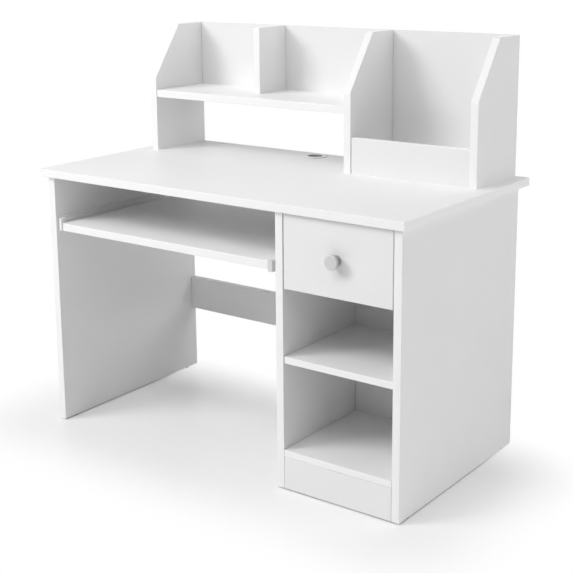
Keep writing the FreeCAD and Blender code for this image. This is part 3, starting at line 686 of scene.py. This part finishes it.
class DESK_OT_knob(bpy.types.Operator):
    """Turn the drawer's knob"""
    bl_idname = "desk.knob"
    bl_label = "Knob"

    def execute(self, context):
        values, colours = details(), finishes()
        low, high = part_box("drawer_knob")
        radius, reach = (high.x - low.x) / 2, high.y - low.y
        foot = radius - values.knob_foot_inset
        neck = radius - values.knob_neck_inset
        under = reach - values.knob_disc
        small, large = values.knob_edge, values.knob_round
        outline = [(0, 0), (foot, 0)]
        outline += arc((foot - small, values.knob_foot - small), small, 0, 90)
        outline += arc((neck + small, values.knob_foot + small), small, 270, 180)
        outline += arc((neck + small, under - small), small, 180, 90)
        outline += arc((radius - small, under + small), small, 270, 360)
        outline += arc((radius - large, reach - large), large, 0, 90, steps=10)
        outline += [(radius / 2, reach - DISH_HALFWAY * values.knob_dish), (0, reach - values.knob_dish)]
        bm = spun(outline, values.fine_steps)
        seat = (low + high) / 2
        seat.y = high.y
        stand(bm, bm.verts, seat, outward=(0, -1, 0))
        # The knob's face turns into painted shade on its side and neck.
        satin = shade_graded_plastic("satin_knob", colours.knob, colours.knob_side, "Y", low.y, low.y + values.knob_shade)
        make_piece("knob_turned", bm, "drawer_knob", satin)
        return {"FINISHED"}


class DESK_OT_cable_ring(bpy.types.Operator):
    """Mould the cable ring in the desktop"""
    bl_idname = "desk.cable_ring"
    bl_label = "Cable Ring"

    def execute(self, context):
        values, colours = details(), finishes()
        low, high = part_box("cable_grommet")
        radius, rounding = (high.x - low.x) / 2, values.ring_round
        bore, wall = values.ring_bore, values.ring_bore + values.ring_wall
        top, seat = high.z, high.z - values.ring_flange
        outline = [(bore, low.z), (wall, low.z), (wall, seat), (radius, seat)]
        outline += arc((radius - rounding, top - rounding), rounding, 0, 90)
        outline += arc((bore + rounding, top - rounding), rounding, 90, 180)
        bm = spun(outline, values.fine_steps, closed=True)
        middle = (low + high) / 2
        bmesh.ops.translate(bm, vec=(middle.x, middle.y, 0), verts=bm.verts)
        # The ring is white at its lip and painted shade lower down the bore.
        white = shade_graded_plastic("ring_plastic", colours.white_plastic, colours.sleeve, "Z", top - rounding,
                       top - values.ring_lip)
        make_piece("cable_ring_moulded", bm, "cable_grommet", white)
        return {"FINISHED"}


class DESK_OT_tray_ends(bpy.types.Operator):
    """Finish the moulded ends beside the keyboard tray"""
    bl_idname = "desk.tray_ends"
    bl_label = "Tray Ends"

    def execute(self, context):
        colours = finishes()
        for node, name, base in (("tray_end_cap_left", "tray_end_white", colours.white_plastic),
                                 ("tray_end_cap_right", "tray_end_grey", colours.grey_plastic)):
            wear(frame["nodes"][node], moulded(name, base, roughness=0.4, grain=1000.0))
        return {"FINISHED"}


class DESK_OT_glides(bpy.types.Operator):
    """Turn the glides under the panels"""
    bl_idname = "desk.glides"
    bl_label = "Glides"

    def execute(self, context):
        bm = stamped(glide_shape, map(fastener, islands("floor_glides")))
        black = moulded("glide_plastic", finishes().dark_plastic, roughness=0.5, grain=800.0)
        make_piece("glides_turned", bm, "floor_glides", black)
        return {"FINISHED"}


class DESK_OT_runners(bpy.types.Operator):
    """Coat the runners' steel strips"""
    bl_idname = "desk.runners"
    bl_label = "Runners"

    def execute(self, context):
        wear_all(STRIPS, powder_coat())
        return {"FINISHED"}


class DESK_OT_rollers(bpy.types.Operator):
    """Mould the eight nylon rollers"""
    bl_idname = "desk.rollers"
    bl_label = "Rollers"

    def execute(self, context):
        values = details()
        nylon = moulded("roller_nylon", finishes().nylon, roughness=0.42, grain=1200.0)
        for node in ROLLERS:
            low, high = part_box(node)
            half, radius, rounding = (high.x - low.x) / 2, (high.y - low.y) / 2, values.roller_round
            hollow = half - values.roller_hollow
            side = [(values.roller_bore, half), (values.roller_hub, half), (values.roller_hub, hollow),
                    (values.roller_rim, hollow), (values.roller_rim, half)]
            side += arc((radius - rounding, half - rounding), rounding, 90, 0)
            outline = side + [(across, -along) for across, along in reversed(side)]
            bm = spun(outline, values.medium_steps, closed=True)
            stand(bm, bm.verts, (low + high) / 2, outward=(1, 0, 0))
            make_piece(f"{node}_moulded", bm, node, nylon)
        return {"FINISHED"}


class DESK_OT_fittings(bpy.types.Operator):
    """Plate the steel fittings, and cut the screws' threads and recesses and the cam locks"""
    bl_idname = "desk.fittings"
    bl_label = "Steel Fittings"

    def execute(self, context):
        plate = zinc_plate()
        wear_all(PLATED, plate)
        for node in SCREWS:
            bm = stamped(screw_shape, map(fastener, islands(node)))
            make_piece(f"{node}_cut", bm, node, plate)
        bm = stamped(lock_shape, map(lock, islands("cam_locks")))
        make_piece("cam_locks_cut", bm, "cam_locks", plate)
        return {"FINISHED"}


class DESK_OT_dowels(bpy.types.Operator):
    """Finish the dowels"""
    bl_idname = "desk.dowels"
    bl_label = "Dowels"

    def execute(self, context):
        wear_all(DOWELS, turned_beech())
        return {"FINISHED"}


# Stage

Lamp = namedtuple("Lamp", "name size place")

# Each lamp's width and depth and where it hangs, in metres. The setting of the same name is its power.
LAMPS = (
    Lamp("top_lamp", size=(4.5, 4.5), place=(-0.4, -0.8, 5.2)),
    Lamp("front_lamp", size=(3.8, 2.2), place=(0, -3.3, 4.8)),
    Lamp("key_lamp", size=(2.2, 2.2), place=(-2.99, -3.69, 3.67)),
    Lamp("side_lamp", size=(3.4, 3.4), place=(5.8, -1.6, 2.4)),
    Lamp("back_lamp", size=(3.0, 3.0), place=(5.5, 1.8, 2.6)),
)


def seen_directly(tree):
    """1 for rays that look at the stage, straight or through gloss or glass, and 0 for the rest."""
    path = add(tree, "ShaderNodeLightPath").outputs
    glossy = calculate(tree, "MAXIMUM", path["Is Glossy Ray"], path["Is Transmission Ray"])
    return calculate(tree, "MAXIMUM", path["Is Camera Ray"], glossy)


def show(tree, output, amount, usual, other):
    """Mixes two shaders by an amount and shows the result."""
    mixed = add(tree, "ShaderNodeMixShader", {0: amount, 1: usual.outputs[0], 2: other.outputs[0]})
    plug(tree, tree.nodes[output].inputs["Surface"], mixed.outputs[0])


def white_world(ambient):
    """A room that looks plain white and gives a little light from all round."""
    world = bpy.data.worlds.new("white_room")
    world.use_nodes = True
    tree = world.node_tree
    soft = tree.nodes["Background"]
    feed(tree, soft, Color=WHITE, Strength=ambient)
    plain = add(tree, "ShaderNodeBackground", {"Color": WHITE, "Strength": 1.0})
    show(tree, "World Output", seen_directly(tree), soft, plain)
    bpy.context.scene.world = world


def depth_under(tree, where):
    """How far a point of the floor lies under the nearest standing board. Less than 0 beside them."""
    deepest = -FAR
    for node in STANDING:
        low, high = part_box(node)
        low.z, high.z = -FAR, FAR
        deepest = calculate(tree, "MAXIMUM", deepest, depth_inside(tree, where, low, high))
    return deepest


def distance_outside(tree, where, low, high):
    """How far a point lies from a box. 0 inside."""
    past = calculate_vector(tree, "MAXIMUM", calculate_vector(tree, "SUBTRACT", where, high),
                            calculate_vector(tree, "SUBTRACT", low, where))
    outside = calculate_vector(tree, "MAXIMUM", past, (0, 0, 0))
    return add(tree, "ShaderNodeVectorMath", {0: outside}, operation="LENGTH").outputs["Value"]


def floor_finish(values):
    """A pale satin floor that keeps the desk's shadow, lightened beside the boards by painted light, and
    fades to plain white further out.
    """
    material, tree, shader, where = new_finish("studio_floor")
    satin = spread(tree, noise(tree, where, scale=9.0), low=values.floor_gloss - FLOOR_DRIFT,
                   high=values.floor_gloss + FLOOR_DRIFT)
    feed(tree, shader, Base_Color=clouded(tree, where, values.floor, scale=1.5, darker=0.995),
         Roughness=satin, IOR=1.45, Specular_IOR_Level=0.5)
    low, high = cad_box
    distance = distance_outside(tree, where, low, Vector((high.x, values.fade_back, FAR)))
    # Outside the standing boards a share of glowing white is mixed in, painted light that lightens the
    # desk's shadow; right under the boards there is none.
    beside = calculate(tree, "LESS_THAN", depth_under(tree, where), 0.0)
    lift = calculate(tree, "MULTIPLY", beside, values.floor_lift)
    fade = add(tree, "ShaderNodeMapRange", {"Value": distance, "From Max": values.fade, "To Min": lift},
               interpolation_type="SMOOTHSTEP").outputs["Result"]
    white = add(tree, "ShaderNodeEmission", {"Color": WHITE, "Strength": 1.0})
    amount = calculate(tree, "MULTIPLY", fade, seen_directly(tree))
    show(tree, "Material Output", amount, shader, white)
    return material


def lay_floor(values):
    """A large floor, not attached to any of the desk's bodies."""
    bm = bmesh.new()
    bmesh.ops.create_grid(bm, x_segments=1, y_segments=1, size=values.floor_size / 2)
    floor = new_object("studio_floor", bm)
    wear(floor, floor_finish(values))


def hang_lamp(lamp, watts, lit):
    """A soft lamp that faces the lit point."""
    light = bpy.data.lights.new(lamp.name, "AREA")
    light.energy = watts
    light.shape = "RECTANGLE"
    light.size, light.size_y = lamp.size
    holder = bpy.data.objects.new(lamp.name, light)
    bpy.context.scene.collection.objects.link(holder)
    holder.location = lamp.place
    holder.rotation_euler = (Vector(lit) - Vector(lamp.place)).to_track_quat("-Z", "Y").to_euler()


def set_camera(values):
    """A camera that is turned, tilted and rolled as the photograph's was."""
    lens = bpy.data.cameras.new("camera")
    lens.lens, lens.sensor_width, lens.shift_y = values.lens, values.sensor, values.shift
    camera = bpy.data.objects.new("camera", lens)
    bpy.context.scene.collection.objects.link(camera)
    aim = Matrix.Rotation(values.turn, 4, "Z") @ Matrix.Rotation(math.pi / 2 - values.tilt, 4, "X")
    camera.matrix_world = Matrix.Translation(values.eye) @ aim @ Matrix.Rotation(values.roll, 4, "Z")
    bpy.context.scene.camera = camera


class DESK_OT_stage(bpy.types.Operator):
    """Set up the floor, the light and the camera"""
    bl_idname = "desk.stage"
    bl_label = "Stage"

    def execute(self, context):
        values = context.scene.desk_stage
        context.scene.view_settings.view_transform = "Standard"
        white_world(values.ambient)
        lay_floor(values)
        for lamp in LAMPS:
            hang_lamp(lamp, getattr(values, lamp.name), values.lit)
        set_camera(values)
        return {"FINISHED"}


class DESK_PT_dress(bpy.types.Panel):
    """The desk's settings and the steps that dress it"""
    bl_label = "Student Desk"
    bl_idname = "DESK_PT_dress"
    bl_space_type = "VIEW_3D"
    bl_region_type = "UI"
    bl_category = "Desk"

    def draw(self, context):
        layout = self.layout
        for step in STEPS:
            layout.operator(step.bl_idname)
        for group in (context.scene.desk_finish, context.scene.desk_detail, context.scene.desk_stage):
            box = layout.box()
            for name in group.__annotations__:
                box.prop(group, name)


STEPS = (DESK_OT_boards, DESK_OT_knob, DESK_OT_cable_ring, DESK_OT_tray_ends, DESK_OT_glides,
         DESK_OT_runners, DESK_OT_rollers, DESK_OT_fittings, DESK_OT_dowels, DESK_OT_stage)
CLASSES = (DeskFinishSettings, DeskDetailSettings, DeskStageSettings, *STEPS, DESK_PT_dress)


def register():
    for made in CLASSES:
        bpy.utils.register_class(made)
    bpy.types.Scene.desk_finish = PointerProperty(type=DeskFinishSettings)
    bpy.types.Scene.desk_detail = PointerProperty(type=DeskDetailSettings)
    bpy.types.Scene.desk_stage = PointerProperty(type=DeskStageSettings)


def unregister():
    del bpy.types.Scene.desk_stage
    del bpy.types.Scene.desk_detail
    del bpy.types.Scene.desk_finish
    for made in reversed(CLASSES):
        bpy.utils.unregister_class(made)


def main():
    register()
    bpy.ops.desk.boards()
    bpy.ops.desk.knob()
    bpy.ops.desk.cable_ring()
    bpy.ops.desk.tray_ends()
    bpy.ops.desk.glides()
    bpy.ops.desk.runners()
    bpy.ops.desk.rollers()
    bpy.ops.desk.fittings()
    bpy.ops.desk.dowels()
    bpy.ops.desk.stage()


if __name__ == "__main__":
    main()
